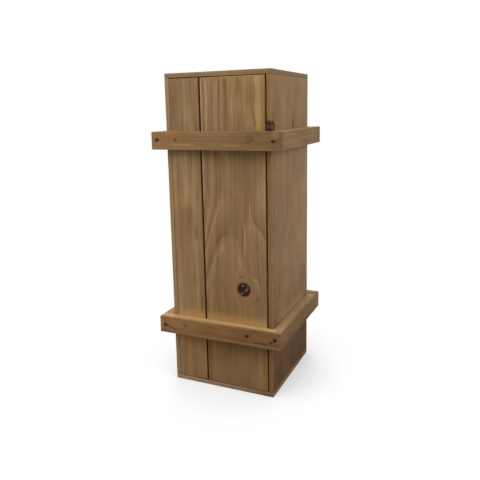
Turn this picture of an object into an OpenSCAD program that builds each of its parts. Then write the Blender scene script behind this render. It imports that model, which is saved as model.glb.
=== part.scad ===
// Upright wooden wine box for one bottle, made of thin pine boards with a ring of battens near
// each end. The front panel is the lid: its boards sit between the sides, and its battens lap the
// ends of the side battens, where four nails hold them. It comes off straight forward.
// Sizes are in millimetres. +Z is up, the lid faces -Y, and the origin is the middle of the foot.

/* [Case] */
// Width of the case over the side boards
case_w = 120; // [100:1:160]
// Depth of the case from the lid's face to the back's face
case_d = 120; // [100:1:160]
// Height of the case over the end plates
case_h = 345; // [300:1:400]
// Thickness of every board and end plate
board_t = 5; // [4:0.5:7]
// Width taken off the corners of the boards
board_ease = 0.4; // [0.2:0.1:0.8]

/* [Panels] */
// Width of the lid's narrow board
lid_narrow_w = 34.8; // [25:0.1:45]
// Gap between the lid's two boards
lid_gap = 1.8; // [0.6:0.1:3]
// Gap between the lid and the left side board
lid_left_gap = 0.3; // [0.2:0.1:1.5]
// Gap between the lid and the right side board
lid_right_gap = 1.7; // [0.2:0.1:3]
// Gap between the lid and each end plate
lid_end_gap = 0.6; // [0.3:0.1:2]
// Width of the back's narrow board
back_narrow_w = 44; // [25:0.5:50]
// Gap between the back's two boards
back_gap = 0.8; // [0.4:0.1:3]

/* [Battens] */
// Thickness of the battens
batten_t = 12; // [9:0.5:16]
// Height of the battens
batten_h = 19; // [16:0.5:26]
// Distance from each end of the case to its ring of battens
ring_inset = 60; // [40:1:90]
// Width taken off the corners of the battens
batten_ease = 0.7; // [0.3:0.1:1.2]

/* [Nails] */
// Diameter of the nails in the battens
nail_d = 1.6; // [1.2:0.1:2]
// Diameter of their heads
nail_head_d = 3.2; // [2.6:0.1:3.6]
// Length of the nails in the corner laps
corner_nail_l = 30; // [24:1:34]
// Diameter of the nails in the end plates
plate_nail_d = 1.2; // [0.9:0.1:1.4]
// Diameter of their heads
plate_nail_head_d = 2.2; // [1.8:0.1:2.6]
// Length of the nails in the end plates
plate_nail_l = 22; // [15:1:30]

/* [Hidden] */
$fn = 32;

// Case
inner_w = case_w - 2 * board_t;
half_w = case_w / 2;
half_d = case_d / 2;
side_h = case_h - 2 * board_t;
lid_h = side_h - 2 * lid_end_gap;
lid_wide_w = inner_w - lid_left_gap - lid_right_gap - lid_gap - lid_narrow_w;
lid_narrow_x = (lid_narrow_w - inner_w) / 2 + lid_left_gap;
lid_wide_x = (inner_w - lid_wide_w) / 2 - lid_right_gap;
back_wide_w = inner_w - back_gap - back_narrow_w;
back_narrow_x = (back_narrow_w - inner_w) / 2;
back_wide_x = (inner_w - back_wide_w) / 2;

// Rings, as the heights of the middles of their battens
ring_w = case_w + 2 * batten_t;
lower_z = ring_inset + batten_h / 2;
upper_z = case_h - ring_inset - batten_h / 2;
lap_x = half_w + batten_t / 2;

// Nails: their heads, how far those are sunk, the room in the holes, the points, and the wood that
// is left past the points
head_t = 0.7;
head_sink = 0.3;
nail_room = 0.02;
pull_room = 0.05;
tip_room = 0.6;
tip_l = 2;
tip_d = 0.3;
panel_tip_cover = 1;
side_tip_cover = 3.3;
panel_nail_l = batten_t + board_t - head_sink - panel_tip_cover;
side_nail_l = board_t + batten_t - head_sink - side_tip_cover;
side_nail_y = case_d / 4;

// Where the nails were driven by hand, as [x, z] on the face of a batten: close to the middle of
// a lap, and some part of a board's width from its middle
LID_CORNERS = [
    [1.2 - lap_x, upper_z + 0.6], [lap_x + 0.2, upper_z - 0.1],
    [0.6 - lap_x, lower_z + 0.2], [lap_x - 0.4, lower_z + 1.6]
];
LID_PANELS = [
    [lid_narrow_x - 0.16 * lid_narrow_w, upper_z + 0.6], [lid_wide_x + 0.38 * lid_wide_w, upper_z + 0.7],
    [lid_narrow_x - 0.08 * lid_narrow_w, lower_z + 1.9], [lid_wide_x + 0.24 * lid_wide_w, lower_z + 1.7]
];
BACK_CORNERS = [
    [0.4 - lap_x, upper_z - 0.8], [lap_x + 0.7, upper_z + 0.5],
    [-0.3 - lap_x, lower_z + 0.9], [lap_x - 0.6, lower_z - 0.4]
];
BACK_PANELS = [
    [back_narrow_x, upper_z + 0.3], [back_wide_x + 0.25 * back_wide_w, upper_z - 0.6],
    [back_narrow_x + 0.05 * back_narrow_w, lower_z - 0.2], [back_wide_x + 0.2 * back_wide_w, lower_z + 0.8]
];

// Where the nails go in an end plate: three in each side board and one in each back board,
// as parts of the depth and of the width
SIDE_PARTS = [-0.4, 0, 0.36];
BACK_PARTS = [-0.3, 0.25];
PLATE_SPOTS = [
    for (side = [-1, 1]) for (part = SIDE_PARTS) [side * (half_w - board_t / 2), part * case_d],
    for (part = BACK_PARTS) [part * case_w, half_d - board_t / 2]
];

PINE = "burlywood";
PALE_PINE = "tan";
BATTEN_PINE = "peru";
STEEL = "dimgray";

// An outline of w by h about its middle, with its corners cut off by c
module eased_outline(w, h, c) {
    x = w / 2;
    y = h / 2;
    polygon([
        [c - x, -y], [x - c, -y], [x, c - y], [x, y - c],
        [x - c, y], [c - x, y], [-x, y - c], [-x, c - y]
    ]);
}

// A sawn board between two corners, with all twelve edges eased by c
module board(low, high, c) {
    size = high - low;
    translate((low + high) / 2) intersection() {
        linear_extrude(size.z, center = true) eased_outline(size.x, size.y, c);
        rotate([90, 0, 0]) linear_extrude(size.y, center = true) eased_outline(size.x, size.z, c);
        rotate([90, 0, 90]) linear_extrude(size.x, center = true) eased_outline(size.y, size.z, c);
    }
}

// A round nail that starts at the origin with its head and runs down
module nail(d, head_d, l) {
    translate([0, 0, -head_t]) cylinder(d = head_d, h = head_t);
    translate([0, 0, tip_l - l]) cylinder(d = d, h = l - tip_l - head_t);
    translate([0, 0, -l]) cylinder(d1 = tip_d, d2 = d, h = tip_l);
}

// The hole for that nail, with room all round the shank and up past the head
module nail_hole(d, head_d, l, room) {
    translate([0, 0, -head_t]) cylinder(d = head_d + 2 * nail_room, h = head_t + 2 * head_sink);
    translate([0, 0, -l - tip_room]) cylinder(d = d + 2 * room, h = l + tip_room);
}

// Nails of the lid and of the back, heads outwards, and their holes
module on_front(spots) {
    for (at = spots)
        translate([at.x, head_sink - half_d - batten_t, at.y]) rotate([90, 0, 0]) children();
}
module on_back(spots) {
    for (at = spots)
        translate([at.x, half_d + batten_t - head_sink, at.y]) rotate([-90, 0, 0]) children();
}
module batten_nail(l) {
    nail(nail_d, nail_head_d, l);
}
module batten_hole(l, room = nail_room) {
    nail_hole(nail_d, nail_head_d, l, room);
}

// Nails through a side board into its two battens, heads inside the case. side is -1 or 1.
module on_side(side) {
    for (z = [lower_z, upper_z])
        for (y = [-side_nail_y, side_nail_y])
            translate([side * (half_w - board_t + head_sink), y, z]) rotate([0, -side * 90, 0]) children();
}

// Nails down through the top plate, and up through the bottom plate
module on_top() {
    for (at = PLATE_SPOTS)
        translate([at.x, at.y, case_h - head_sink]) children();
}
module on_bottom() {
    for (at = PLATE_SPOTS)
        translate([at.x, at.y, head_sink]) rotate([180, 0, 0]) children();
}
module plate_nail() {
    nail(plate_nail_d, plate_nail_head_d, plate_nail_l);
}
module plate_hole() {
    nail_hole(plate_nail_d, plate_nail_head_d, plate_nail_l, nail_room);
}

// End plates
module top_plate() {
    color(PINE) difference() {
        board([-half_w, -half_d, case_h - board_t], [half_w, half_d, case_h], board_ease);
        on_top() plate_hole();
    }
}
module bottom_plate() {
    color(PINE) difference() {
        board([-half_w, -half_d, 0], [half_w, half_d, board_t], board_ease);
        on_bottom() plate_hole();
    }
}

// A side board stands between the end plates and is nailed to them and to its battens
module side_board(side) {
    edges = [side * half_w, side * (half_w - board_t)];
    difference() {
        board([min(edges), -half_d, board_t], [max(edges), half_d, case_h - board_t], board_ease);
        on_side(side) batten_hole(side_nail_l);
        on_top() plate_hole();
        on_bottom() plate_hole();
    }
}
module left_side_board() {
    color(PALE_PINE) side_board(-1);
}
module right_side_board() {
    color(PALE_PINE) side_board(1);
}

// The back's two boards fill the case from side to side and from plate to plate
module back_board(x, w) {
    difference() {
        board(
            [x - w / 2, half_d - board_t, board_t],
            [x + w / 2, half_d, case_h - board_t],
            board_ease
        );
        on_back(BACK_PANELS) batten_hole(panel_nail_l);
        on_top() plate_hole();
        on_bottom() plate_hole();
    }
}
module back_narrow_board() {
    color(PINE) back_board(back_narrow_x, back_narrow_w);
}
module back_wide_board() {
    color(PINE) back_board(back_wide_x, back_wide_w);
}

// A batten across the back laps the ends of the side battens
module back_batten(z) {
    difference() {
        board(
            [-ring_w / 2, half_d, z - batten_h / 2],
            [ring_w / 2, half_d + batten_t, z + batten_h / 2],
            batten_ease
        );
        on_back(BACK_PANELS) batten_hole(panel_nail_l);
        on_back(BACK_CORNERS) batten_hole(corner_nail_l);
    }
}
module back_upper_batten() {
    color(BATTEN_PINE) back_batten(upper_z);
}
module back_lower_batten() {
    color(BATTEN_PINE) back_batten(lower_z);
}

// A side batten fills the side between the lid's battens and the back's
module side_batten(side, z) {
    edges = [side * half_w, side * (half_w + batten_t)];
    difference() {
        board(
            [min(edges), -half_d, z - batten_h / 2],
            [max(edges), half_d, z + batten_h / 2],
            batten_ease
        );
        on_side(side) batten_hole(side_nail_l);
        on_back(BACK_CORNERS) batten_hole(corner_nail_l);
        on_front(LID_CORNERS) batten_hole(corner_nail_l, pull_room);
    }
}
module left_upper_batten() {
    color(BATTEN_PINE) side_batten(-1, upper_z);
}
module left_lower_batten() {
    color(BATTEN_PINE) side_batten(-1, lower_z);
}
module right_upper_batten() {
    color(BATTEN_PINE) side_batten(1, upper_z);
}
module right_lower_batten() {
    color(BATTEN_PINE) side_batten(1, lower_z);
}

// Nails of the case
module back_corner_nails() {
    color(STEEL) on_back(BACK_CORNERS) batten_nail(corner_nail_l);
}
module back_board_nails() {
    color(STEEL) on_back(BACK_PANELS) batten_nail(panel_nail_l);
}
module left_batten_nails() {
    color(STEEL) on_side(-1) batten_nail(side_nail_l);
}
module right_batten_nails() {
    color(STEEL) on_side(1) batten_nail(side_nail_l);
}
module top_plate_nails() {
    color(STEEL) on_top() plate_nail();
}
module bottom_plate_nails() {
    color(STEEL) on_bottom() plate_nail();
}

// The lid's boards hang between the sides and the end plates, with gaps all round
module lid_board(x, w) {
    low_z = board_t + lid_end_gap;
    difference() {
        board(
            [x - w / 2, -half_d, low_z],
            [x + w / 2, board_t - half_d, low_z + lid_h],
            board_ease
        );
        on_front(LID_PANELS) batten_hole(panel_nail_l);
    }
}
module lid_narrow_board() {
    color(PINE) lid_board(lid_narrow_x, lid_narrow_w);
}
module lid_wide_board() {
    color(PINE) lid_board(lid_wide_x, lid_wide_w);
}

// The lid's battens hold its boards together and bear on the sides and on the side battens
module lid_batten(z) {
    difference() {
        board(
            [-ring_w / 2, -half_d - batten_t, z - batten_h / 2],
            [ring_w / 2, -half_d, z + batten_h / 2],
            batten_ease
        );
        on_front(LID_PANELS) batten_hole(panel_nail_l);
        on_front(LID_CORNERS) batten_hole(corner_nail_l);
    }
}
module lid_upper_batten() {
    color(BATTEN_PINE) lid_batten(upper_z);
}
module lid_lower_batten() {
    color(BATTEN_PINE) lid_batten(lower_z);
}
module lid_corner_nails() {
    color(STEEL) on_front(LID_CORNERS) batten_nail(corner_nail_l);
}
module lid_board_nails() {
    color(STEEL) on_front(LID_PANELS) batten_nail(panel_nail_l);
}

top_plate();
bottom_plate();
left_side_board();
right_side_board();
back_narrow_board();
back_wide_board();
back_upper_batten();
back_lower_batten();
left_upper_batten();
left_lower_batten();
right_upper_batten();
right_lower_batten();
back_corner_nails();
back_board_nails();
left_batten_nails();
right_batten_nails();
top_plate_nails();
bottom_plate_nails();
lid_narrow_board();
lid_wide_board();
lid_upper_batten();
lid_lower_batten();
lid_corner_nails();
lid_board_nails();
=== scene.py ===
import math

import bmesh
import bpy
from mathutils import Matrix, Vector


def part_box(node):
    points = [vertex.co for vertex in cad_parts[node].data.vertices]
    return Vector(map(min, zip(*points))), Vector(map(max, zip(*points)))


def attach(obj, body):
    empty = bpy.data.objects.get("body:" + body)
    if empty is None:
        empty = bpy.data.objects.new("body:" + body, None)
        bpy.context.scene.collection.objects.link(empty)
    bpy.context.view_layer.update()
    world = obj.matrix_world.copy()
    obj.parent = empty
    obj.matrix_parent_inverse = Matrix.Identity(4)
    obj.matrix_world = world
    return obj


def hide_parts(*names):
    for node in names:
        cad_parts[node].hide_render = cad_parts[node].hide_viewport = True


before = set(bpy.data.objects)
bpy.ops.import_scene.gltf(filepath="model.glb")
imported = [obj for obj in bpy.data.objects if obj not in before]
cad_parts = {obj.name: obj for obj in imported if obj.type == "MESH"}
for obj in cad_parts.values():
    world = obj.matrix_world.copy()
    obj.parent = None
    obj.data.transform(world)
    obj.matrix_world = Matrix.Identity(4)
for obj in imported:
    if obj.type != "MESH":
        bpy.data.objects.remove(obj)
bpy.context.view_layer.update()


# Bottom plate
# One board of thin pine under the ends of the sides, its grain running from left to right.
# It is sawn to size, planed, and nailed up into the side boards and the back.
MM = 0.001
RIGHT, BACK, UP = range(3)  # The axes, by the way they point.


def sawn(node, ease, cell=10):
    """A new piece of wood where a CAD node is, with eased edges, cut into cells."""
    low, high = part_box(node)
    bpy.ops.object.select_all(action="DESELECT")
    bpy.ops.mesh.primitive_cube_add(size=1, location=(low + high) / 2, scale=high - low)
    piece = bpy.context.object
    piece.name = piece.data.name = node + "_wood"
    bpy.ops.object.transform_apply(location=True, rotation=True, scale=True)
    bpy.ops.object.mode_set(mode="EDIT")
    bpy.ops.mesh.select_mode(type="EDGE")
    bpy.ops.mesh.select_all(action="SELECT")
    bpy.ops.mesh.bevel(offset=ease * MM, segments=3, affect="EDGES")
    for axis in range(3):
        cuts = round((high - low)[axis] / (cell * MM)) - 1
        if cuts > 0:
            select_along(piece.data, axis)
            bpy.ops.mesh.subdivide(number_cuts=cuts)
    bpy.ops.object.mode_set(mode="OBJECT")
    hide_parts(node)
    return piece


def select_along(mesh, axis):
    """Selects the long edges that run along an axis."""
    bpy.ops.mesh.select_all(action="DESELECT")
    work = bmesh.from_edit_mesh(mesh)
    for edge in work.edges:
        run = edge.verts[1].co - edge.verts[0].co
        if run.length > 2 * MM and abs(run[axis]) > 0.999 * run.length:
            edge.select_set(True)
    bmesh.update_edit_mesh(mesh)


def wear(piece, size, depth):
    """Sinks the surface here and there by up to that depth, in hollows of that size."""
    texture = bpy.data.textures.new(piece.name + "_hollows", "CLOUDS")
    texture.noise_scale = size * MM
    hollows = piece.modifiers.new("hollows", "DISPLACE")
    hollows.texture = texture
    hollows.texture_coords = "LOCAL"
    hollows.mid_level = 1
    hollows.strength = depth * MM
    bpy.context.view_layer.objects.active = piece
    bpy.ops.object.modifier_apply(modifier=hollows.name)


def cut_away(piece, tools):
    """Cuts tools that lie clear of each other out of the piece, and removes them."""
    bpy.ops.object.select_all(action="DESELECT")
    for tool in tools:
        tool.select_set(True)
    bpy.context.view_layer.objects.active = tools[0]
    if len(tools) > 1:
        bpy.ops.object.join()
    cutter = bpy.context.view_layer.objects.active
    cut = piece.modifiers.new("cut", "BOOLEAN")
    cut.object = cutter
    cut.solver = "EXACT"
    bpy.context.view_layer.objects.active = piece
    bpy.ops.object.modifier_apply(modifier=cut.name)
    bpy.data.objects.remove(cutter)


def nail_places(node, axis, face):
    """Where a CAD node's nails meet a face across that axis."""
    groups = []
    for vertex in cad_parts[node].data.vertices:
        place = vertex.co.copy()
        place[axis] = face
        group = next((g for g in groups if (g[0] - place).length < 4 * MM), None)
        if group:
            group.append(place)
        else:
            groups.append([place])
    places = []
    for group in groups:
        low = Vector([min(place[i] for place in group) for i in range(3)])
        high = Vector([max(place[i] for place in group) for i in range(3)])
        places.append((low + high) / 2)
    return places


def bore(piece, node, outward, shank, head=0):
    """Bores nail holes of those radii, their heads outward, with crushed wood round the heads."""
    outward = Vector(outward)
    axis = max(range(3), key=lambda i: abs(outward[i]))
    low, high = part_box(node)
    face = (high if outward[axis] > 0 else low)[axis]
    places = nail_places(node, axis, face)
    turn = outward.to_track_quat("Z", "Y").to_euler()
    passes = [(shank, shank, (high - low)[axis] / MM + 0.5, 1.0)]
    if head:
        passes.append((head, head, 0.75, 1.0))
        passes.append((head * 0.8, head * 2.1, 0.35, 1.0))
    for inner, outer, below, above in passes:
        bits = []
        for place in places:
            bpy.ops.object.select_all(action="DESELECT")
            bpy.ops.mesh.primitive_cone_add(
                vertices=20,
                radius1=inner * MM,
                radius2=outer * MM,
                depth=(above + below) * MM,
                location=place + outward * (above - below) / 2 * MM,
                rotation=turn,
            )
            bits.append(bpy.context.object)
        cut_away(piece, bits)


def coat(piece, material):
    """Gives a piece its one material."""
    piece.data.materials.clear()
    piece.data.materials.append(material)


def fit(piece, body, material):
    """Gives a finished piece its material and its place in the assembly."""
    bpy.ops.object.select_all(action="DESELECT")
    piece.select_set(True)
    bpy.context.view_layer.objects.active = piece
    bpy.ops.object.shade_smooth_by_angle(angle=math.radians(35))
    coat(piece, material)
    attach(piece, body)


class Shade:
    """A socket of a shader that takes Python's arithmetic. Each operation adds its node."""

    def __init__(self, tree, socket):
        self.tree = tree
        self.socket = socket

    def add(self, kind, settings=None, sockets=None, output=0):
        """Adds any other node: its settings first, then its sockets' values or links."""
        node = self.tree.nodes.new(kind)
        for key, value in (settings or {}).items():
            setattr(node, key, value)
        for key, value in (sockets or {}).items():
            if isinstance(value, Shade):
                self.tree.links.new(value.socket, node.inputs[key])
            else:
                node.inputs[key].default_value = value
        return Shade(self.tree, node.outputs[output])

    def math(self, operation, *others):
        """A Math node's operation on this and other values."""
        values = dict(enumerate((self, *others)))
        return self.add("ShaderNodeMath", {"operation": operation}, values)

    def __add__(self, other):
        return self.math("ADD", other)

    def __radd__(self, other):
        return self + other

    def __sub__(self, other):
        return self.math("SUBTRACT", other)

    def __rsub__(self, other):
        return self.add("ShaderNodeMath", {"operation": "SUBTRACT"}, {0: other, 1: self})

    def __mul__(self, other):
        return self.math("MULTIPLY", other)

    def __rmul__(self, other):
        return self * other

    def __truediv__(self, other):
        return self.math("DIVIDE", other)

    def __rtruediv__(self, other):
        return self.add("ShaderNodeMath", {"operation": "DIVIDE"}, {0: other, 1: self})

    def __pow__(self, other):
        return self.math("POWER", other)

    def __abs__(self):
        return self.math("ABSOLUTE")

    def step(self, low, high):
        """0 at low and 1 at high, smooth between, either way round."""
        return self.add(
            "ShaderNodeMapRange",
            {"interpolation_type": "SMOOTHSTEP"},
            {"Value": self, "From Min": low, "From Max": high},
        )

    def band(self, middle, reach):
        """1 at the middle, falling to 0 at that reach on both sides."""
        return abs(self - middle).step(reach, 0)

    def split(self):
        """The three numbers of a point."""
        node = self.tree.nodes.new("ShaderNodeSeparateXYZ")
        self.tree.links.new(self.socket, node.inputs[0])
        return [Shade(self.tree, output) for output in node.outputs]

    def noise(self, size, seed, detail=2):
        """Noise at a point, with features of that size along each axis, in millimetres."""
        point = self.add(
            "ShaderNodeVectorMath",
            {"operation": "MULTIPLY_ADD"},
            {0: self, 1: [1 / s for s in size], 2: (seed, seed * 1.7, seed * 0.6)},
        )
        sockets = {"Vector": point, "Scale": 1, "Detail": detail}
        return self.add("ShaderNodeTexNoise", None, sockets)

    def mix(self, first, second, kind="MIX"):
        """A colour: the first where this is 0, the second where it is 1."""
        return self.add(
            "ShaderNodeMix",
            {"data_type": "RGBA", "blend_type": kind},
            {0: self, 6: first, 7: second},
            output=2,
        )

    def ramp(self, stops):
        """A colour that runs through stops, each the number it stands at and its colour."""
        shade = self.add("ShaderNodeValToRGB", None, {"Fac": self})
        elements = shade.socket.node.color_ramp.elements
        while len(elements) < len(stops):
            elements.new(1)
        for element, (place, colour) in zip(elements, stops):
            element.position = place
            element.color = colour
        return shade

    def finish(self, kind="ShaderNodeOutputMaterial"):
        """Makes this shader the surface of its material, or of the world."""
        output = self.tree.nodes.new(kind)
        self.tree.links.new(self.socket, output.inputs["Surface"])


def paint(red, green, blue):
    """A colour as it looks, each part from 0 to 255, as the light that a shader takes."""
    parts = [c / 255 for c in (red, green, blue)]
    return [c / 12.92 if c < 0.04 else ((c + 0.055) / 1.055) ** 2.4 for c in parts] + [1]


def point_on(material):
    """The point on the piece that a new material is at, in millimetres."""
    material.use_nodes = True
    material.node_tree.nodes.clear()
    place = material.node_tree.nodes.new("ShaderNodeTexCoord")
    point = Shade(material.node_tree, place.outputs["Object"])
    return point.add("ShaderNodeVectorMath", {"operation": "SCALE"}, {0: point, "Scale": 1 / MM})


def along(grain, length, width):
    """The size of a feature that long along the grain and that wide across it."""
    return [length if axis == grain else width for axis in range(3)]


def oval(across, upward, long, short, angle=0, ragged=0, outer=1.4, inner=0.4):
    """1 in a soft oval of those half lengths, its long way turned up by an angle from level."""
    turn = math.radians(angle)
    lengthwise = (across * math.cos(turn) + upward * math.sin(turn) + ragged) / long
    sideways = (upward * math.cos(turn) - across * math.sin(turn) + ragged) / short
    return (lengthwise * lengthwise + sideways * sideways).step(outer, inner)


def rings_of_log(point, grain, pith, spacing, seed, sway=7):
    """The number of growth rings from a pith that lies along the grain, at that place across."""
    across = [part for axis, part in enumerate(point.split()) if axis != grain]
    reach = 0
    for i in range(2):
        wander = (point.noise(along(grain, 170, 28), seed + 3 * i) - 0.5) * sway
        offset = across[i] + wander - pith[i]
        reach = offset * offset + reach
    return reach ** 0.5 / spacing


def late_wood(rings, seed):
    """The dark late wood of each ring: it grows slowly and ends sharply, more in some rings."""
    phase = rings.math("FRACT")
    year = rings.math("FLOOR") + seed
    year = rings.add("ShaderNodeTexWhiteNoise", {"noise_dimensions": "1D"}, {"W": year})
    return phase.step(0.2, 0.92) * phase.step(1, 0.94) * (year * 0.8 + 0.2)


def grain_tone(point, grain, late, seed, ring=0.3, streak=0.7, fibre=0.3, patch=0.5):
    """How dark bare pine is, about 0.4, from its rings, streaks, fibres and patches."""
    tone = (late - 0.2) * ring + 0.4
    tone += (point.noise(along(grain, 190, 3.4), seed + 11) - 0.5) * streak
    tone += (point.noise(along(grain, 24, 0.5), seed + 17, 3) - 0.5) * fibre
    tone += (point.noise(along(grain, 70, 1.7), seed + 19) - 0.5) * fibre
    tone += point.noise(along(grain, 46, 0.9), seed + 29).step(0.6, 0.76) * fibre
    return tone + (point.noise(along(grain, 80, 26), seed + 23) - 0.5) * patch


def edge_distance(point, node):
    """How far a point on a box's surface is from the box's nearest edge."""
    low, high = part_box(node)
    depths = []
    for part, lowest, highest in zip(point.split(), low / MM, high / MM):
        depths.append((highest - lowest) / 2 - abs(part - (lowest + highest) / 2))
    first, second, third = depths
    least = first.math("MINIMUM", second)
    most = first.math("MAXIMUM", second)
    return least.math("MAXIMUM", most.math("MINIMUM", third))


def age(point, node, grain, colour, seed, worn=0.35, inside=0.5):
    """Uneven hue, darker end grain, paler wood inside the case, painted shade in the gaps, rubbed
    edges and specks.
    """
    yellow = point.noise(along(grain, 90, 11), seed + 59).step(0.44, 0.6)
    colour = (yellow * 0.8).mix(colour, (1, 0.96, 0.86, 1), "MULTIPLY")
    ruddy = point.noise(along(grain, 70, 14), seed + 61).step(0.5, 0.66)
    colour = (ruddy * 0.8).mix(colour, (1, 0.94, 0.92, 1), "MULTIPLY")
    x, y, z = point.split()
    low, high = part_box(node)
    half = (high - low)[grain] / 2 / MM
    middle = (high + low)[grain] / 2 / MM
    end = abs((x, y, z)[grain] - middle).step(half - 1.0, half - 0.3)
    pores = point.noise((0.8, 0.8, 0.8), seed + 43, 3).step(0.35, 0.7)
    colour = (end * (0.2 + pores * 0.35)).mix(colour, paint(104, 82, 60))
    if inside:
        half_width, half_height, middle_height = 55, 167.5, 172.5
        level = abs(z - middle_height)
        inner = abs(x).math("MAXIMUM", abs(y)).step(half_width + 0.6, half_width + 0.2)
        inner *= level.step(half_height + 0.7, half_height - 0.1)
        colour = (inner * inside).mix(colour, paint(188, 148, 96))
        opening = x.step(0.4 - half_width, 0.8 - half_width)
        opening *= x.step(half_width + 0.5, half_width + 0.2)
        opening *= level.step(half_height + 0.5, half_height + 0.2)
        # Painted shade: the faces inside the gaps round the lid are painted dark orange brown.
        painted_rebate_shade = opening * y.step(-59.8, -59.4) * y.step(-54.9, -55.3)
        colour = (painted_rebate_shade * 0.9).mix(colour, paint(134, 80, 16))
    rub = edge_distance(point, node).step(1.5, 0.2)
    rub *= point.noise((8, 8, 8), seed + 31).step(0.4, 0.64)
    colour = (rub * worn).mix(colour, paint(164, 136, 98))
    speck = point.noise((1.4, 1.4, 1.4), seed + 37, 3).step(0.69, 0.8)
    return (speck * 0.35).mix(colour, paint(88, 64, 42))


def dress(point, colour, tone, grain, seed, rough=0.3, relief=0.22):
    """Finishes a wood material: dry, a little duller where dark, with fibres standing up."""
    height = point.noise(along(grain, 16, 0.4), seed + 41, 3) * 0.6 - tone * 0.5
    height += point.noise((1.1, 1.1, 1.1), seed + 47, 3) * rough
    bump = point.add(
        "ShaderNodeBump",
        None,
        {"Strength": 0.5, "Distance": relief * MM, "Height": height},
    )
    wood = point.add(
        "ShaderNodeBsdfPrincipled",
        None,
        {
            "Base Color": colour,
            "Roughness": tone * 0.2 + 0.68,
            "Normal": bump,
            "Specular IOR Level": 0.12,
        },
    )
    wood.finish()


plate_nail = {"shank": 0.65, "head": 1.2}

bottom_plate = sawn("bottom_plate", ease=0.3)
wear(bottom_plate, size=30, depth=0.2)
bore(bottom_plate, "bottom_plate_nails", (0, 0, -1), **plate_nail)

bottom_pine = bpy.data.materials.new("bottom_pine")
seed = 5
point = point_on(bottom_pine)
late = late_wood(rings_of_log(point, RIGHT, (-20, 60), 3.1, seed), seed)
tone = grain_tone(point, RIGHT, late, seed)
stops = [(0, paint(158, 130, 94)), (0.4, paint(130, 103, 72)), (1, paint(88, 62, 40))]
colour = tone.ramp(stops)
x, y, _ = point.split()
front = y.step(-59.2, -59.8)
# The front edge is greyer and paler to the left, with a painted highlight at its left end, and
# darker at its right.
colour = (front * x.step(82, -20)).mix(colour, paint(147, 121, 96))
colour = (front * x.step(-26, -50) * 0.5).mix(colour, paint(166, 138, 108))
colour = (front * x.step(42, 52) * 0.4).mix(colour, paint(92, 66, 42))
colour = (x.step(59.2, 59.8) * y.step(-10, 50) * 0.75).mix(colour, paint(94, 70, 46))
colour = age(point, "bottom_plate", RIGHT, colour, seed)
dress(point, colour, tone, RIGHT, seed)
fit(bottom_plate, "case", bottom_pine)


# Side boards
# Two boards of planed pine that stand on edge between the plates, their grain upright. Nails
# driven from inside hold them to their battens, and nails in the plates hold their ends.
batten_nail = {"shank": 0.85, "head": 1.7}
side_stops = [(0, paint(154, 129, 99)), (0.4, paint(133, 107, 80)), (1, paint(92, 66, 46))]

left_side = sawn("left_side_board", ease=0.3)
wear(left_side, size=38, depth=0.2)
bore(left_side, "left_batten_nails", (1, 0, 0), **batten_nail)

left_side_pine = bpy.data.materials.new("left_side_pine")
seed = 12
point = point_on(left_side_pine)
late = late_wood(rings_of_log(point, UP, (-30, -18), 4.2, seed), seed)
tone = grain_tone(point, UP, late, seed, ring=0.26, streak=0.6)
colour = tone.ramp(side_stops)
front = point.split()[1].step(-59.4, -59.9)
colour = (front * 0.7).mix(colour, paint(153, 125, 91))
colour = age(point, "left_side_board", UP, colour, seed)
dress(point, colour, tone, UP, seed)
fit(left_side, "case", left_side_pine)

right_side = sawn("right_side_board", ease=0.3)
wear(right_side, size=42, depth=0.2)
bore(right_side, "right_batten_nails", (-1, 0, 0), **batten_nail)

right_side_pine = bpy.data.materials.new("right_side_pine")
seed = 21
point = point_on(right_side_pine)
x, y, z = point.split()
late = late_wood(rings_of_log(point, UP, (120, 12), 5.2, seed, sway=10), seed)
tone = grain_tone(point, UP, late, seed, ring=0.05, streak=0.22, fibre=0.17, patch=0.35)
tone += (point.noise((12, 13, 26), seed + 1) - 0.5) * 0.5
# Painted shade: darker towards the bottom, and more under the lower batten.
tone += z.step(160, 100) * 0.12 + z.step(66, 52) * 0.1
tone += y.step(-30, -58) * 0.13 - y.step(8, 42) * z.step(100, 130) * 0.14
colour = tone.ramp(side_stops)
colour = (y.step(-20, -58) * z.step(180, 330) * 0.4).mix(colour, paint(140, 114, 74))
colour = (y.step(-59.4, -59.9) * 0.7).mix(colour, paint(124, 97, 64))
ragged = (point.noise((5, 5, 5), seed + 4, 3) - 0.5) * 2
halo = oval(y + 47, z - 304, 15, 8, 48)
colour = (halo * 0.35).mix(colour, paint(106, 82, 54))
corner_knot = oval(y + 58, z - 289.5, 8.5, 6, 0, ragged)
knot_colour = oval(y + 56.5, z - 289, 3.6, 3.2, 0, ragged) * 0.8
knot_colour = knot_colour.mix(paint(52, 24, 10), paint(106, 66, 56))
colour = (corner_knot * 0.95).mix(colour, knot_colour)
shake = oval(y - 5.6, z - 290.5, 6.5, 3.4, 90, ragged * 0.4)
shake = shake + oval(y - 6.5, z - 301.5, 6, 2.6, 90) * 0.35
colour = (shake * 0.7).mix(colour, paint(86, 54, 28))
# The face under the lower batten is painted dark: partly painted shade under the batten, partly
# stains and dark blotches of its own.
foot = z.step(66, 46) * x.step(59.4, 59.9)
colour = (foot * 0.86).mix(colour, paint(85, 65, 37))
old_stain = oval(y + 32, z - 24, 26, 18, 20) + oval(y - 26, z - 30, 24, 20, -10)
old_stain *= point.noise((12, 14, 18), seed + 6, 1).step(0.36, 0.7) * foot
colour = (old_stain * 0.5).mix(colour, paint(110, 60, 38))
dark_blotches = point.noise((16, 24, 34), seed + 8, 1).step(0.42, 0.7) * foot
colour = (dark_blotches * 0.38 + y.step(-20, 30) * foot * 0.25).mix(colour, paint(56, 40, 28))
colour = (y.step(42, 58) * foot * 0.3).mix(colour, paint(54, 40, 28))
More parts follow.
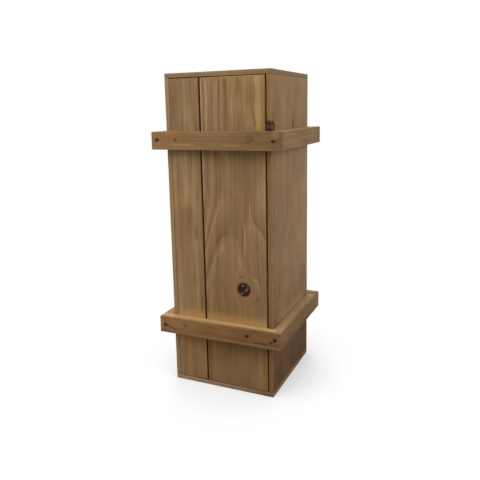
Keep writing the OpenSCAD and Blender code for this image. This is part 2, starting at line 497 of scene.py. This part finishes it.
# Painted bounce light: the face just over the lower batten is painted paler.
pale = z.step(94, 78) * z.step(74, 78) * y.step(-60, -12) * y.step(60, 30)
colour = (pale * 0.55).mix(colour, paint(168, 136, 102))
colour = (y.step(34, 56) * z.step(70, 90)).mix(colour, (0.94, 1.02, 0.95, 1), "MULTIPLY")
colour = age(point, "right_side_board", UP, colour, seed)
dress(point, colour, tone, UP, seed)
fit(right_side, "case", right_side_pine)


# Top plate
# The same board as the bottom plate, over the ends of the sides. Its edges show as a thin line
# round the top of the box, with end grain on the left and right.
top_plate = sawn("top_plate", ease=0.3)
wear(top_plate, size=34, depth=0.2)
bore(top_plate, "top_plate_nails", (0, 0, 1), **plate_nail)

top_pine = bpy.data.materials.new("top_pine")
seed = 31
point = point_on(top_pine)
late = late_wood(rings_of_log(point, RIGHT, (14, 390), 3.6, seed), seed)
tone = grain_tone(point, RIGHT, late, seed, ring=0.32)
stops = [(0, paint(160, 134, 98)), (0.4, paint(134, 108, 76)), (1, paint(90, 64, 42))]
colour = tone.ramp(stops)
x, y, z = point.split()
colour = (x.step(59.2, 59.8) * 0.8).mix(colour, paint(122, 108, 86))
colour = (y.step(-59.2, -59.8) * z.step(343, 344.2) * 0.5).mix(colour, paint(116, 102, 84))
# Painted highlight on the lower front edge, lifting the shade of the seam over the lid.
seam_edge_highlight = z.step(341, 340.3) * y.step(-59.2, -59.8) * x.step(-10, 12) * x.step(48, 42)
colour = (seam_edge_highlight * 0.45).mix(colour, paint(180, 147, 105))
colour = age(point, "top_plate", RIGHT, colour, seed)
dress(point, colour, tone, RIGHT, seed)
fit(top_plate, "case", top_pine)


# Back boards
# Two upright boards of the same planed pine, a narrow and a wide one, set between the sides.
# They are nailed to the back battens, with a dark shrinkage gap between them.
for board, pith, spacing, seed in (
    ("back_narrow_board", (-70, 40), 3.8, 43),
    ("back_wide_board", (20, 68), 4.6, 51),
):
    back_board = sawn(board, ease=0.3)
    wear(back_board, size=36, depth=0.2)

    back_pine = bpy.data.materials.new(board + "_pine")
    point = point_on(back_pine)
    late = late_wood(rings_of_log(point, UP, pith, spacing, seed, sway=9), seed)
    tone = grain_tone(point, UP, late, seed, ring=0.28, streak=0.6)
    colour = tone.ramp(side_stops)
    colour = age(point, board, UP, colour, seed)
    dress(point, colour, tone, UP, seed)
    fit(back_board, "case", back_pine)


# Side battens
# Four sticks of rough-sawn pine across the outside of the side boards, flush with the front and
# back. The corner nails of the lid go into holes in their front ends.
def nail_stain(point, places, axis, reach, seed):
    """The dark rust stain that nails leave in the wood round their heads."""
    parts = point.split()
    ragged = (point.noise((2.6, 2.6, 2.6), seed + 53, 3) - 0.5) * 2.4
    stain = None
    for place in places:
        gap = 0
        for i in range(3):
            if i != axis:
                offset = parts[i] - place[i] / MM
                gap = offset * offset + gap
        spot = (gap ** 0.5 + ragged).step(reach, 0.6)
        stain = stain.math("MAXIMUM", spot) if stain else spot
    return stain


batten_stops = [(0, paint(154, 126, 92)), (0.4, paint(129, 102, 73)), (1, paint(82, 56, 36))]

for batten, pith, seed, dull in (
    ("left_upper_batten", (-80, 260), 61, 0),
    ("left_lower_batten", (-50, 90), 67, 0.3),
    ("right_upper_batten", (40, 300), 73, 0.14),
    ("right_lower_batten", (90, 50), 83, 0.7),
):
    side_batten = sawn(batten, ease=0.7, cell=6)
    wear(side_batten, size=16, depth=0.35)
    bore(side_batten, "lid_corner_nails", (0, -1, 0), shank=0.88)

    side_batten_pine = bpy.data.materials.new(batten + "_pine")
    point = point_on(side_batten_pine)
    late = late_wood(rings_of_log(point, BACK, pith, 3.4, seed), seed)
    tone = grain_tone(point, BACK, late, seed, ring=0.16, streak=0.45, patch=0.7)
    colour = tone.ramp(batten_stops)
    x, _, z = point.split()
    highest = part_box(batten)[1][2] / MM
    # Painted light: the top faces are painted paler, as if lit from above, and their outer edge a
    # little darker.
    top = z.step(highest - 0.8, highest - 0.2)
    colour = (top * 0.45).mix(colour, paint(186, 154, 110))
    colour = (top * abs(x).step(69.2, 70.8) * 0.6).mix(colour, paint(108, 82, 52))
    outer = abs(x).step(71, 71.6)
    colour = (outer * dull).mix(colour, paint(104, 80, 49))
    colour = (outer * dull * z.step(66, 61) * 0.6).mix(colour, paint(60, 44, 28))
    old_stain = point.noise((20, 13, 12), seed + 5, 3).step(0.48, 0.68) * outer
    colour = (old_stain * dull * 0.6).mix(colour, paint(108, 60, 40))
    colour = age(point, batten, BACK, colour, seed, worn=0.5, inside=0)
    dress(point, colour, tone, BACK, seed, rough=0.5, relief=0.3)
    fit(side_batten, "case", side_batten_pine)


# Back battens
# Two longer sticks of the same pine that cover the ends of the side battens. Each is held by
# two nails into the back boards and one at either end into a side batten.
for batten, pith, seed in (
    ("back_upper_batten", (110, 250), 91),
    ("back_lower_batten", (40, 95), 97),
):
    back_batten = sawn(batten, ease=0.7, cell=6)
    wear(back_batten, size=17, depth=0.35)
    places = []
    for nails in ("back_corner_nails", "back_board_nails"):
        bore(back_batten, nails, (0, 1, 0), **batten_nail)
        places += nail_places(nails, BACK, 0)

    back_batten_pine = bpy.data.materials.new(batten + "_pine")
    point = point_on(back_batten_pine)
    late = late_wood(rings_of_log(point, RIGHT, pith, 3.2, seed), seed)
    tone = grain_tone(point, RIGHT, late, seed, ring=0.18, streak=0.45, patch=0.7)
    colour = tone.ramp(batten_stops)
    colour = age(point, batten, RIGHT, colour, seed, worn=0.5, inside=0)
    colour = (nail_stain(point, places, BACK, 3.6, seed) * 0.75).mix(colour, paint(62, 42, 30))
    dress(point, colour, tone, RIGHT, seed, rough=0.5, relief=0.3)
    fit(back_batten, "case", back_batten_pine)


# Nails of the case
# Round steel nails with flat heads, driven just below the wood and browned by rust. They are
# the CAD's own solids, and only their finish is new.
def pitted_steel(point, colour, metallic, roughness, specular, seed):
    """Finishes a steel material with the fine pits that rust leaves."""
    pits = point.add(
        "ShaderNodeBump",
        None,
        {"Strength": 0.5, "Distance": 0.1 * MM, "Height": point.noise((0.3, 0.3, 0.3), seed, 3)},
    )
    steel = point.add(
        "ShaderNodeBsdfPrincipled",
        None,
        {
            "Base Color": colour,
            "Metallic": metallic,
            "Roughness": roughness,
            "Specular IOR Level": specular,
            "Normal": pits,
        },
    )
    steel.finish()


nail_steel = bpy.data.materials.new("nail_steel")
point = point_on(nail_steel)
rust = point.noise((0.9, 0.9, 0.9), 3, 4).step(0.4, 0.62)
colour = rust.mix(paint(88, 74, 60), paint(82, 54, 34))
pitted_steel(point, colour, 0.4 - rust * 0.4, rust * 0.25 + 0.6, 0.2, 9)

for nails in (
    "back_corner_nails",
    "back_board_nails",
    "left_batten_nails",
    "right_batten_nails",
    "top_plate_nails",
    "bottom_plate_nails",
):
    coat(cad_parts[nails], nail_steel)


# Narrow board of the lid
# An upright board of planed pine at the left of the front, with straight grain in faint
# stripes. It is nailed to the two battens that cross it.
def upright(across, z, middle, reach, start, end):
    """1 on an upright streak: its middle and reach across the board, its start and end up it."""
    return across.band(middle, reach) * z.step(start, start + 14) * z.step(end, end - 14)


def streaks(tone, across, z, marks):
    """Darkens upright streaks: where each is, and how dark."""
    for middle, reach, start, end, darker in marks:
        tone += upright(across, z, middle, reach, start, end) * darker
    return tone


def tints(colour, across, z, marks):
    """Turns the hue of upright streaks: where each is, and what it does to red, green and blue."""
    for middle, reach, start, end, tint in marks:
        mask = upright(across, z, middle, reach, start, end)
        colour = mask.mix(colour, (*tint, 1), "MULTIPLY")
    return colour


def painted_bounce_over_batten(colour, z):
    """Painted bounce light: paler, yellower boards just over the lower batten."""
    return (z.step(92, 77) * z.step(75, 78) * 0.75).mix(colour, paint(190, 154, 98))


lid_narrow = sawn("lid_narrow_board", ease=0.3)
wear(lid_narrow, size=33, depth=0.2)

lid_narrow_pine = bpy.data.materials.new("lid_narrow_pine")
seed = 101
point = point_on(lid_narrow_pine)
x, _, z = point.split()
late = late_wood(rings_of_log(point, UP, (-110, 60), 5.5, seed, sway=9), seed)
tone = grain_tone(point, UP, late, seed, ring=0.14, streak=0.5)
# Painted light among these: the lighter streaks that end just under the upper batten lift its
# shadow on the board.
narrow_marks = (
    (-50, 9, 285, 345, 0.12),
    (-33, 7, 276, 318, -0.14),
    (-40, 26, 195, 270, -0.16),
    (-37, 6, 205, 275, -0.16),
    (-28, 4.5, 175, 300, -0.24),
    (-51, 9, 75, 268, -0.14),
    (-28, 4, 75, 180, -0.14),
    (-23, 4, 80, 165, 0.14),
    (-34, 7, -10, 62, 0.2),
    (-46, 4, 308, 345, 0.08),
    (-37, 4, 244, 270, -0.12),
    (-47, 11, 213, 257, 0.16),
    (-26, 5, 220, 262, -0.07),
    (-30, 8, 108, 162, 0.09),
    (-51, 6, 34, 64, -0.12),
    (-30, 6, -10, 42, 0.12),
)
tone = streaks(tone, x, z, narrow_marks)
lid_stops = [(0, paint(170, 142, 104)), (0.4, paint(139, 110, 78)), (1, paint(90, 60, 37))]
colour = tone.ramp(lid_stops)
light_streak = x.band(-36.5, 3.2) * z.step(255, 300)
colour = (light_streak * 0.35).mix(colour, paint(166, 138, 98))
colour = painted_bounce_over_batten(colour, z)
# Painted light among these: the warm tint at the foot, up to 70, warms the shade there.
narrow_tints = (
    (-38, 20, 285, 350, (0.92, 1.03, 1.04)),
    (-30, 18, 76, 118, (1, 1, 0.88)),
    (-36, 40, -20, 70, (1.03, 0.97, 0.82)),
)
colour = tints(colour, x, z, narrow_tints)
colour = age(point, "lid_narrow_board", UP, colour, seed)
# Painted shade on the right edge, in the gap beside the wide board.
colour = (x.step(-20.9, -20.2) * 0.6).mix(colour, paint(84, 54, 22))
dress(point, colour, tone, UP, seed)
fit(lid_narrow, "lid", lid_narrow_pine)


# Wide board of the lid
# An upright flat-sawn board of planed pine, with two arches of grain side by side and one dead
# knot. The knot is bark-edged and cracked, and the grain flows round it.
lid_wide = sawn("lid_wide_board", ease=0.3)
wear(lid_wide, size=40, depth=0.2)

knot_x, knot_z = 27.3, 118
knot = Vector((knot_x, -60, knot_z)) * MM
bpy.ops.object.select_all(action="DESELECT")
bpy.ops.mesh.primitive_torus_add(
    major_segments=40,
    minor_segments=8,
    major_radius=7.3 * MM,
    minor_radius=0.5 * MM,
    location=knot,
    rotation=(math.radians(90), 0, 0),
)
cut_away(lid_wide, [bpy.context.object])
for angle, length, shift, width in (
    (20, 9, (1.2, -1.0), 0.7),
    (75, 6, (-2.6, 2.2), 0.6),
    (130, 8, (1.8, 2.6), 0.6),
    (-30, 5, (-2.4, -3.2), 0.5),
):
    bpy.ops.object.select_all(action="DESELECT")
    bpy.ops.mesh.primitive_cone_add(
        vertices=3,
        radius1=width * MM,
        radius2=width * 0.3 * MM,
        depth=length * MM,
        location=knot + Vector((shift[0], 0, shift[1])) * MM,
        rotation=(0, math.radians(angle), 0),
    )
    cut_away(lid_wide, [bpy.context.object])

lid_wide_pine = bpy.data.materials.new("lid_wide_pine")
seed = 111
point = point_on(lid_wide_pine)
x, y, z = point.split()
wander = (point.noise((24, 40, 70), seed - 40) - 0.5) * 5
across = x - knot_x
upward = z - knot_z
apart = across * across + upward * upward + 0.01
push = 90 / apart
flow = across * (1 - push.math("MINIMUM", 1)) + wander + knot_x
bent = point.add("ShaderNodeCombineXYZ", None, {0: flow, 1: y, 2: z})
height = (z + wander).math("SMOOTH_MIN", 209, 30)
left = flow - 9.6
left *= left.step(5, -5) * 0.15 + 0.14
left = left * left + height
right = flow - 35.6
spike = (abs(right) / -2.2).math("EXPONENT") * 20
right = right * right * 0.066 + height - spike - 13.8
figure = left.math("SMOOTH_MIN", right, 6)
valley = (flow - 24.8) / 2.4
figure += (valley * valley * -1).math("EXPONENT") * 32
small_rings = late_wood((figure - 177) / 5.3, seed + 6)
smooth = z.step(68, 60)
tone = grain_tone(
    bent, UP, small_rings, seed, ring=0, streak=0.46 - smooth * 0.28, fibre=0.36 - smooth * 0.22
)
tone += (small_rings - 0.2) * figure.step(188, 215) * 0.22
tone += figure.step(173, 178) * figure.step(205, 184) * 0.11
tone += figure.band(178.5, 7) * flow.step(14, 2) * 0.15
tone += figure.band(178, 5) * flow.step(36, 40) * 0.16
tone -= figure.band(172, 4) * flow.step(35, 40) * 0.06
tone += figure.step(213, 217.5) * figure.step(223, 219) * flow.step(8, 2) * 0.2
tone -= figure.band(164, 7) * flow.step(12, 4) * 0.12
tone -= figure.band(209, 5) * flow.step(9, 4) * 0.16
tone += (figure.band(248, 8) - figure.band(233, 8)) * flow.step(0, -5) * 0.14
# Painted light and shade among these: the darker streaks that end at 268 are the upper batten's
# painted shadow, and the light ones along the left and right edges from 195 up are painted
# highlights.
wide_marks = (
    (-8, 3, -10, 56, -0.06),
    (45.5, 4, -10, 58, -0.1),
    (50, 6, -10, 62, 0.14),
    (-14.5, 4, -10, 62, 0.09),
    (-16, 5, -10, 112, 0.12),
    (41, 7, 30, 64, 0.08),
    (24, 6, 36, 64, 0.08),
    (4, 17, 70, 160, 0.12),
    (-10.2, 2.6, 78, 136, -0.12),
    (-17, 3, 80, 120, 0.08),
    (-8.5, 3, 80, 122, -0.07),
    (23.6, 1.8, 134, 170, -0.2),
    (-6, 4, 148, 194, -0.09),
    (-17, 3, 148, 194, 0.07),
    (26.2, 1.1, 150, 194, 0.26),
    (29.2, 1.7, 152, 192, -0.24),
    (35.4, 1.5, 172, 218, -0.2),
    (24, 3, 184, 226, 0.08),
    (-12, 3, 184, 228, -0.12),
    (51.5, 3, 195, 262, -0.14),
    (-17.4, 1.4, 200, 345, -0.6),
    (-16.4, 2.4, 205, 268, -0.3),
    (6, 6, 212, 268, 0.16),
    (31, 16, 215, 268, 0.08),
    (44, 3, 222, 268, 0.1),
    (-4.2, 2, 246, 268, -0.1),
    (45, 8, 262, 320, -0.14),
    (-12, 3, 262, 345, -0.44),
    (-6.4, 2, 262, 345, 0.14),
    (-0.8, 4, 262, 345, -0.38),
    (3.8, 2.4, 262, 345, 0.2),
    (9.8, 4.5, 262, 345, 0.26),
    (17.8, 2.2, 262, 345, -0.14),
    (45, 8, 262, 345, -0.12),
    (36, 9, 268, 318, -0.22),
    (-14.4, 1.4, 270, 345, 0.24),
    (28, 3, 308, 345, 0.12),
    (16, 3, 310, 350, 0.1),
    (22, 9, 310, 350, 0.1),
    (23.4, 0.9, 316, 345, 0.24),
    (25.8, 0.9, 316, 345, 0.24),
)
fine_grain = tone  # The relief follows this, since with the marks it is too much for Cycles.
tone = streaks(tone, flow, z, wide_marks)
# Painted shade: darker towards the bottom, and more under the lower batten, where its shadow
# falls.
tone += z.step(150, 100) * 0.07 + z.step(66, 60) * 0.06 + z.step(22, 50) * z.step(66, 60) * 0.13
colour = tone.ramp(lid_stops)
reach = apart ** 0.5
ragged = (point.noise((3, 6, 3), seed + 8) - 0.5) * 1.8
colour = ((reach + ragged).step(11.5, 8) * 0.4).mix(colour, paint(120, 84, 58))
# Painted light among these: the warm tints at the foot, up to 70, warm the shade there.
wide_tints = (
    (47, 8, -20, 54, (1.06, 0.99, 0.72)),
    (-8, 20, -20, 70, (1.04, 0.97, 0.82)),
    (50.2, 2, 8, 36, (1.1, 0.94, 0.8)),
    (34, 24, 30, 70, (1.02, 1, 0.92)),
    (2, 24, 76, 118, (1.01, 1, 0.91)),
    (47, 9, 262, 320, (0.985, 1.025, 0.85)),
    (31, 8, 270, 304, (1.02, 0.97, 1.04)),
    (-3, 10, 276, 350, (0.97, 1.03, 1)),
    (46.5, 9, 276, 350, (0.99, 1.02, 0.88)),
    (10, 6, 282, 350, (0.96, 1.04, 0.99)),
    (14.2, 2.6, 286, 332, (1.04, 0.97, 0.8)),
    (36.8, 2.2, 296, 324, (1.06, 0.93, 1.04)),
    (18.5, 2, 298, 350, (1, 1, 0.88)),
    (29, 9, 298, 350, (0.955, 1.05, 1)),
)
colour = tints(colour, flow, z, wide_tints)
bend = ((z - 314.5) / 5.25).math("SINE")
crack = (x - 41.4 - bend * 1.4).band(0, 1.2) * z.step(286, 292) * z.step(338, 326)
colour = (crack * (z.step(312, 302) * 0.35 + 0.35)).mix(colour, paint(98, 68, 36))
colour = (oval(x - 35.6, z - 288, 1.6, 1.0) * 0.5).mix(colour, paint(92, 62, 38))
colour = (oval(x - 43.3, z - 165.8, 1.4, 1.2) * 0.5).mix(colour, paint(92, 64, 38))
arc = reach.band(17.5, 3) * across.step(4, 12)
colour = (arc * upward.step(-8, 0) * 0.4).mix(colour, paint(164, 138, 98))
colour = (arc * upward.step(0, -8) * 0.4).mix(colour, paint(96, 70, 44))
mark = (across + 2.2) * (across + 2.2) / 16 + (upward - 13.6) * (upward - 13.6) / 3
colour = (mark.step(1.3, 0.2) * 0.4).mix(colour, paint(104, 68, 48))
heart = point.noise((2.2, 6, 2.2), seed + 16, 3).step(0.35, 0.75)
heart = heart.mix(paint(16, 8, 6), paint(70, 40, 28))
for shift_x, shift_z, long, short, angle in (
    (-0.9, 4.4, 2.2, 1.3, 10),
    (3.0, -0.2, 3.4, 1.5, 42),
    (-2.2, -4.4, 2.4, 1.2, 30),
    (4.2, 3.8, 1.2, 0.8, -40),
):
    place = (across - shift_x, upward - shift_z)
    fragment = oval(*place, long, short, angle, ragged, 1.25, 0.5)
    heart = (fragment * 0.8).mix(heart, paint(108, 88, 78))
colour = (reach + ragged).step(8.0, 7.2).mix(colour, heart)
colour = ((reach + ragged * 0.6).band(7.4, 0.9) * 0.7).mix(colour, paint(46, 28, 20))
colour = painted_bounce_over_batten(colour, z)
# Painted highlight on the upper front edge, lifting the shade of the seam under the top plate.
seam_edge_highlight = z.step(338.4, 339) * x.step(-10, 12) * x.step(48, 42)
colour = (seam_edge_highlight * 0.5).mix(colour, paint(186, 152, 108))
colour = age(point, "lid_wide_board", UP, colour, seed)
colour = (x.step(52.6, 53.2) * y.step(-59, -59.8) * 0.6).mix(colour, paint(92, 62, 28))
# Painted highlight on the right edge face, inside the gap beside the side board.
colour = (x.step(53.1, 53.25) * y.step(-59.8, -59.2) * 0.8).mix(colour, paint(180, 128, 48))
dress(point, colour, fine_grain, UP, seed)
fit(lid_wide, "lid", lid_wide_pine)


# Battens of the lid
# Two sticks of rough-sawn pine across the front boards and over the ends of the side battens.
# A nail near either end goes into a side batten, and two more hold the boards. The lower one
# has a waney lower edge.
for batten, pith, seed, darker, stops, marks in (
    (
        "lid_upper_batten",
        (-40, 255),
        131,
        0.4,
        [(0, paint(159, 129, 89)), (0.4, paint(133, 105, 72)), (1, paint(83, 57, 35))],
        (
            (-60, 271.2, 12, 1.6, -2, 0.5, (160, 104, 58)),
            (-35, 271.6, 14, 1.1, 0, 0.5, (162, 136, 88)),
            (-34, 269.3, 13, 0.6, 0, 0.45, (150, 98, 54)),
            (21, 271.4, 12, 1.8, 0, 0.45, (146, 122, 74)),
            (-66, 281.5, 6, 2.5, 0, 0.35, (132, 116, 78)),
            (68, 281, 4, 3.4, 0, 0.35, (146, 126, 76)),
            (41, 279, 5.5, 3.6, 60, 0.35, (92, 66, 40)),
            (41.8, 275.6, 2, 1.4, 0, 0.4, (84, 56, 36)),
            (-67.4, 274.7, 2.6, 1.2, 20, 0.5, (76, 46, 36)),
            (-64.9, 276.2, 2.5, 1.9, 8, 0.9, (44, 20, 16)),
            (-42.8, 276.1, 1.6, 1.3, 0, 0.5, (84, 54, 30)),
            (66.2, 275.4, 2.6, 1.9, -10, 0.8, (70, 38, 22)),
        ),
    ),
    (
        "lid_lower_batten",
        (-85, 92),
        139,
        0.16,
        [(0, paint(160, 124, 80)), (0.4, paint(131, 97, 61)), (1, paint(82, 52, 29))],
        (
            (-69.5, 72, 2.4, 4.5, 0, 0.6, (150, 132, 98)),
            (-60.5, 65.4, 6, 1.8, -6, 0.5, (150, 100, 80)),
            (-63, 62, 8, 1.4, -3, 0.4, (86, 64, 54)),
            (-57, 67.4, 7, 1.0, -17, 0.75, (84, 50, 26)),
            (-65.2, 69.2, 3, 2.0, -10, 0.9, (58, 28, 18)),
            (-40.2, 71.0, 1.6, 1.4, 0, 0.7, (76, 44, 24)),
            (34.6, 71.2, 2.7, 1.8, 15, 0.9, (46, 24, 12)),
            (51, 65.8, 10, 0.9, 1, 0.65, (72, 44, 24)),
            (64.4, 70.4, 2.6, 0.9, 50, 0.5, (166, 124, 98)),
            (66.1, 71.5, 2.5, 2.1, -30, 0.9, (52, 28, 16)),
            (62.5, 68.6, 2.4, 1.5, 0, 0.8, (60, 34, 20)),
        ),
    ),
):
    lid_batten = sawn(batten, ease=0.7, cell=6)
    wear(lid_batten, size=15, depth=0.35)
    if batten == "lid_lower_batten":
        bpy.ops.object.select_all(action="DESELECT")
        bpy.ops.mesh.primitive_cube_add(
            size=1,
            location=Vector((6, -74.3, 55.3)) * MM,
            rotation=(math.radians(62), 0, math.radians(0.4)),
            scale=Vector((190, 12, 4)) * MM,
        )
        cut_away(lid_batten, [bpy.context.object])
    for nails in ("lid_corner_nails", "lid_board_nails"):
        bore(lid_batten, nails, (0, -1, 0), **batten_nail)

    lid_batten_pine = bpy.data.materials.new(batten + "_pine")
    point = point_on(lid_batten_pine)
    x, y, z = point.split()
    late = late_wood(rings_of_log(point, RIGHT, pith, 3.2, seed), seed)
    tone = grain_tone(point, RIGHT, late, seed, ring=0.08, streak=0.4, patch=0.8)
    tone += x.step(-40, 60) * darker
    if batten == "lid_upper_batten":
        # Painted light: the lower edge of the front is lightened against its shade; the left part
        # and the whole are a little lighter too.
        tone -= z.step(270.5, 267) * 0.2 + x.step(-30, -46) * z.step(272, 276) * 0.12 + 0.04
    else:
        tone -= z.band(71, 4.5) * 0.14
        tone += z.step(74.5, 77.5) * x.step(-10, 44) * 0.16
    colour = tone.ramp(stops)
    if batten == "lid_lower_batten":
        # Painted light: the top face is painted pale, as if lit from above; towards its front and
        # right end it is painted darker again, holding that highlight back.
        top = z.step(78.2, 78.8)
        colour = (top * 0.86).mix(colour, paint(188, 154, 104))
        darker_top_front = y.step(-66.4, -69.4) * (x.step(-30, 50) * 0.45 + 0.5)
        darker_top_front = darker_top_front.math("MAXIMUM", x.step(62, 67) * 0.5)
        colour = (top * darker_top_front).mix(colour, paint(108, 80, 50))
        top_edge = z.step(76.6, 78) * y.step(-70.6, -71.4) * (x.step(10, 50) * 0.4 + 0.55)
        colour = top_edge.mix(colour, paint(98, 70, 40))
        # A paler strip along the waney lower edge: partly the wane's paler wood, partly painted
        # light where that edge faces down into shade.
        wane_and_painted_light = z.band(62.8, 1.5) * y.step(-70, -71) * x.step(-60, -40)
        colour = (wane_and_painted_light * 0.5).mix(colour, paint(148, 114, 80))
    ragged = (point.noise((7, 3, 2.4), seed + 5, 3) - 0.5) * 2
    front = y.step(-70.5, -71.2)
    for place_x, place_z, long, short, angle, strength, shade in marks:
        spot = oval(x - place_x, z - place_z, long, short, angle, ragged) * front
        colour = (spot * strength).mix(colour, paint(*shade))
    colour = age(point, batten, RIGHT, colour, seed, worn=0.3, inside=0)
    dress(point, colour, tone, RIGHT, seed, rough=0.5, relief=0.3)
    fit(lid_batten, "lid", lid_batten_pine)


# Nails of the lid
# The same rusted nails as in the case: four long ones at the corners, which pull out of the
# side battens with the lid, and four short ones in its boards.
for nails, dark, pale in (
    ("lid_corner_nails", (46, 26, 18), (74, 44, 28)),
    ("lid_board_nails", (98, 70, 43), (120, 90, 58)),
):
    rusted_steel = bpy.data.materials.new(nails + "_steel")
    point = point_on(rusted_steel)
    dust = point.noise((0.8, 0.8, 0.8), 13, 4).step(0.4, 0.6)
    colour = dust.mix(paint(*dark), paint(*pale))
    across, _, upward = point.split()
    damp = across.step(0, 20) * upward.step(140, 100)
    colour = (damp * 0.8).mix(colour, paint(44, 24, 16))
    pitted_steel(point, colour, 0, dust * 0.15 + 0.75, 0.15, 19)
    coat(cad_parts[nails], rusted_steel)


# Floor, light and camera
# A pale studio floor that fades to white away from the box, wide soft lights from over the
# camera, the right, above and behind, and an even white room. The camera's place, turn and lens
# are fitted to the edges of the box in the photo.
def seen_directly(tree):
    """1 for the camera's rays and those that a gloss or a clear piece sends on, and else 0."""
    rays = tree.nodes.new("ShaderNodeLightPath")
    camera_ray, glossy_ray, clear_ray = [
        Shade(tree, rays.outputs[name])
        for name in ("Is Camera Ray", "Is Glossy Ray", "Is Transmission Ray")
    ]
    return camera_ray.math("MAXIMUM", glossy_ray.math("MAXIMUM", clear_ray))


bpy.ops.object.select_all(action="DESELECT")
bpy.ops.mesh.primitive_circle_add(vertices=96, radius=3, fill_type="NGON", location=(0, 0, 0))
floor = bpy.context.object
floor.name = floor.data.name = "floor"
bpy.ops.object.mode_set(mode="EDIT")
bpy.ops.mesh.select_all(action="SELECT")
bpy.ops.transform.translate(value=(0, 0, -0.05 * MM))
bpy.ops.object.mode_set(mode="OBJECT")

floor_paper = bpy.data.materials.new("floor_paper")
point = point_on(floor_paper)
x, y, _ = point.split()
far = ((x * x + y * y) ** 0.5).step(70, 170) * 0.6 + 0.4
paper = point.add("ShaderNodeBsdfDiffuse", None, {"Color": paint(246, 246, 246)})
glow = point.add("ShaderNodeEmission", None, {"Color": (1, 1, 1, 1), "Strength": 1})
seen = point.add("ShaderNodeMixShader", None, {0: far, 1: paper, 2: glow})
unseen = point.add("ShaderNodeBsdfDiffuse", None, {"Color": paint(172, 168, 160)})
direct = seen_directly(floor_paper.node_tree)
point.add("ShaderNodeMixShader", None, {0: direct, 1: unseen, 2: seen}).finish()
coat(floor, floor_paper)

room = bpy.data.worlds.new("room")
bpy.context.scene.world = room
room.use_nodes = True
room.node_tree.nodes.clear()
direct = seen_directly(room.node_tree)
dim = direct.add("ShaderNodeBackground", None, {"Color": (1, 1, 1, 1), "Strength": 0.42})
white = direct.add("ShaderNodeBackground", None, {"Color": (1, 1, 1, 1), "Strength": 1})
sky = direct.add("ShaderNodeMixShader", None, {0: direct, 1: dim, 2: white})
sky.finish("ShaderNodeOutputWorld")

for name, place, aim, size, power in (
    ("soft_box", (-0.15, -0.5, 0.88), (0, 0, 0.2), 0.9, 5.5),
    ("right_fill", (0.85, -0.3, 0.5), (0, 0, 0.22), 0.75, 4.5),
    ("top_fill", (0, 0.3, 1.0), (0, 0, 0.1), 0.8, 2.4),
    ("back_fill", (-0.5, 0.85, 0.5), (0, 0, 0.2), 0.8, 4.5),
):
    lamp = bpy.data.lights.new(name, "AREA")
    lamp.shape = "DISK"
    lamp.size = size
    lamp.energy = power
    holder = bpy.data.objects.new(name, lamp)
    bpy.context.scene.collection.objects.link(holder)
    holder.location = place
    holder.rotation_euler = (Vector(place) - Vector(aim)).to_track_quat("Z", "Y").to_euler()

lens = bpy.data.cameras.new("camera")
lens.sensor_width = 36
lens.lens = 40.127
lens.shift_x = -0.00225
lens.shift_y = -0.06273
camera = bpy.data.objects.new("camera", lens)
bpy.context.scene.collection.objects.link(camera)
camera.matrix_world = Matrix(
    (
        (0.913465, -0.058315, 0.402718, 0.24853),
        (0.406482, 0.176588, -0.896431, -0.55587),
        (-0.018840, 0.982556, 0.185011, 0.30668),
        (0, 0, 0, 1),
    )
)
bpy.context.scene.camera = camera
bpy.context.scene.view_settings.view_transform = "Standard"


# Update
# The scene's transforms are brought up to date.
bpy.context.view_layer.update()
